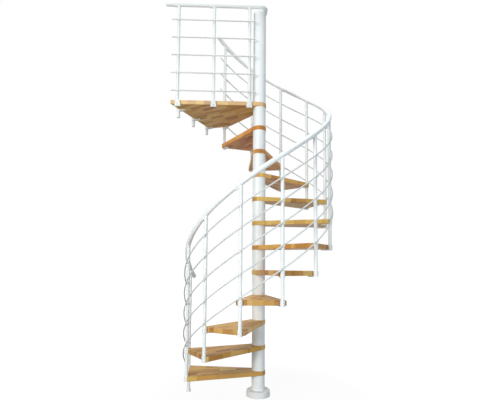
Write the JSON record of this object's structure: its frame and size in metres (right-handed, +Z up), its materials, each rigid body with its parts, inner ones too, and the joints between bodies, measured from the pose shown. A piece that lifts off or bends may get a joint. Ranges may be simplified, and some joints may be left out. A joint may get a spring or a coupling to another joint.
{
  "type": "spiral staircase",
  "caption": "Spiral staircase with a white steel column, wedge-shaped beech treads, a landing, upright balusters, climbing rods and a round handrail.",
  "frame": {"origin": "the column's axis at floor level, in the underside of the base plate", "axes": "+Z up the column; the first tread points along -X and the flight climbs counter-clockwise seen from above"},
  "size_m": [1.5995, 1.3886, 3.7618],
  "materials": {
    "white_steel": "white powder coat on steel tube, satin",
    "white_rail": "white powder coat on a bent tube, satin",
    "white_rod": "white powder coat on thin round bar",
    "cast_white": "white powder coat on cast aluminium",
    "white_plastic": "moulded white plastic, low gloss",
    "zinc_steel": "zinc-plated steel",
    "beech": "finger-jointed beech strips, clear satin lacquer"
  },
  "bodies": {
    "root": {"baluster_01": "white_steel", "baluster_02": "white_steel", "baluster_03": "white_steel", "baluster_04": "white_steel", "baluster_05": "white_steel", "baluster_06": "white_steel", "baluster_07": "white_steel", "baluster_08": "white_steel", "baluster_09": "white_steel", "baluster_10": "white_steel", "baluster_11": "white_steel", "baluster_12": "white_steel", "base_cover": "white_plastic", "base_plate": "zinc_steel", "column_sleeves": "white_steel", "core_tube": "zinc_steel", "edge_brackets": "cast_white", "edge_stubs": "white_steel", "floor_foot": "white_plastic", "handrail_end_caps": "white_plastic", "landing_handrail": "white_rail", "landing_platform": "beech", "landing_post_feet": "cast_white", "landing_posts": "white_steel", "landing_rod_clips": "white_plastic", "landing_rods": "white_rod", "leading_brackets": "cast_white", "newel_cap": "white_plastic", "newel_sleeve": "white_steel", "rail_saddles": "cast_white", "sloping_handrail": "white_rail", "sloping_rod_1": "white_rod", "sloping_rod_2": "white_rod", "sloping_rod_3": "white_rod", "sloping_rod_4": "white_rod", "sloping_rod_5": "white_rod", "sloping_rod_clips": "white_plastic", "trailing_brackets": "cast_white", "tread_01": "beech", "tread_02": "beech", "tread_03": "beech", "tread_04": "beech", "tread_05": "beech", "tread_06": "beech", "tread_07": "beech", "tread_08": "beech", "tread_09": "beech", "tread_10": "beech", "tread_11": "beech"}
  },
  "joints": []
}
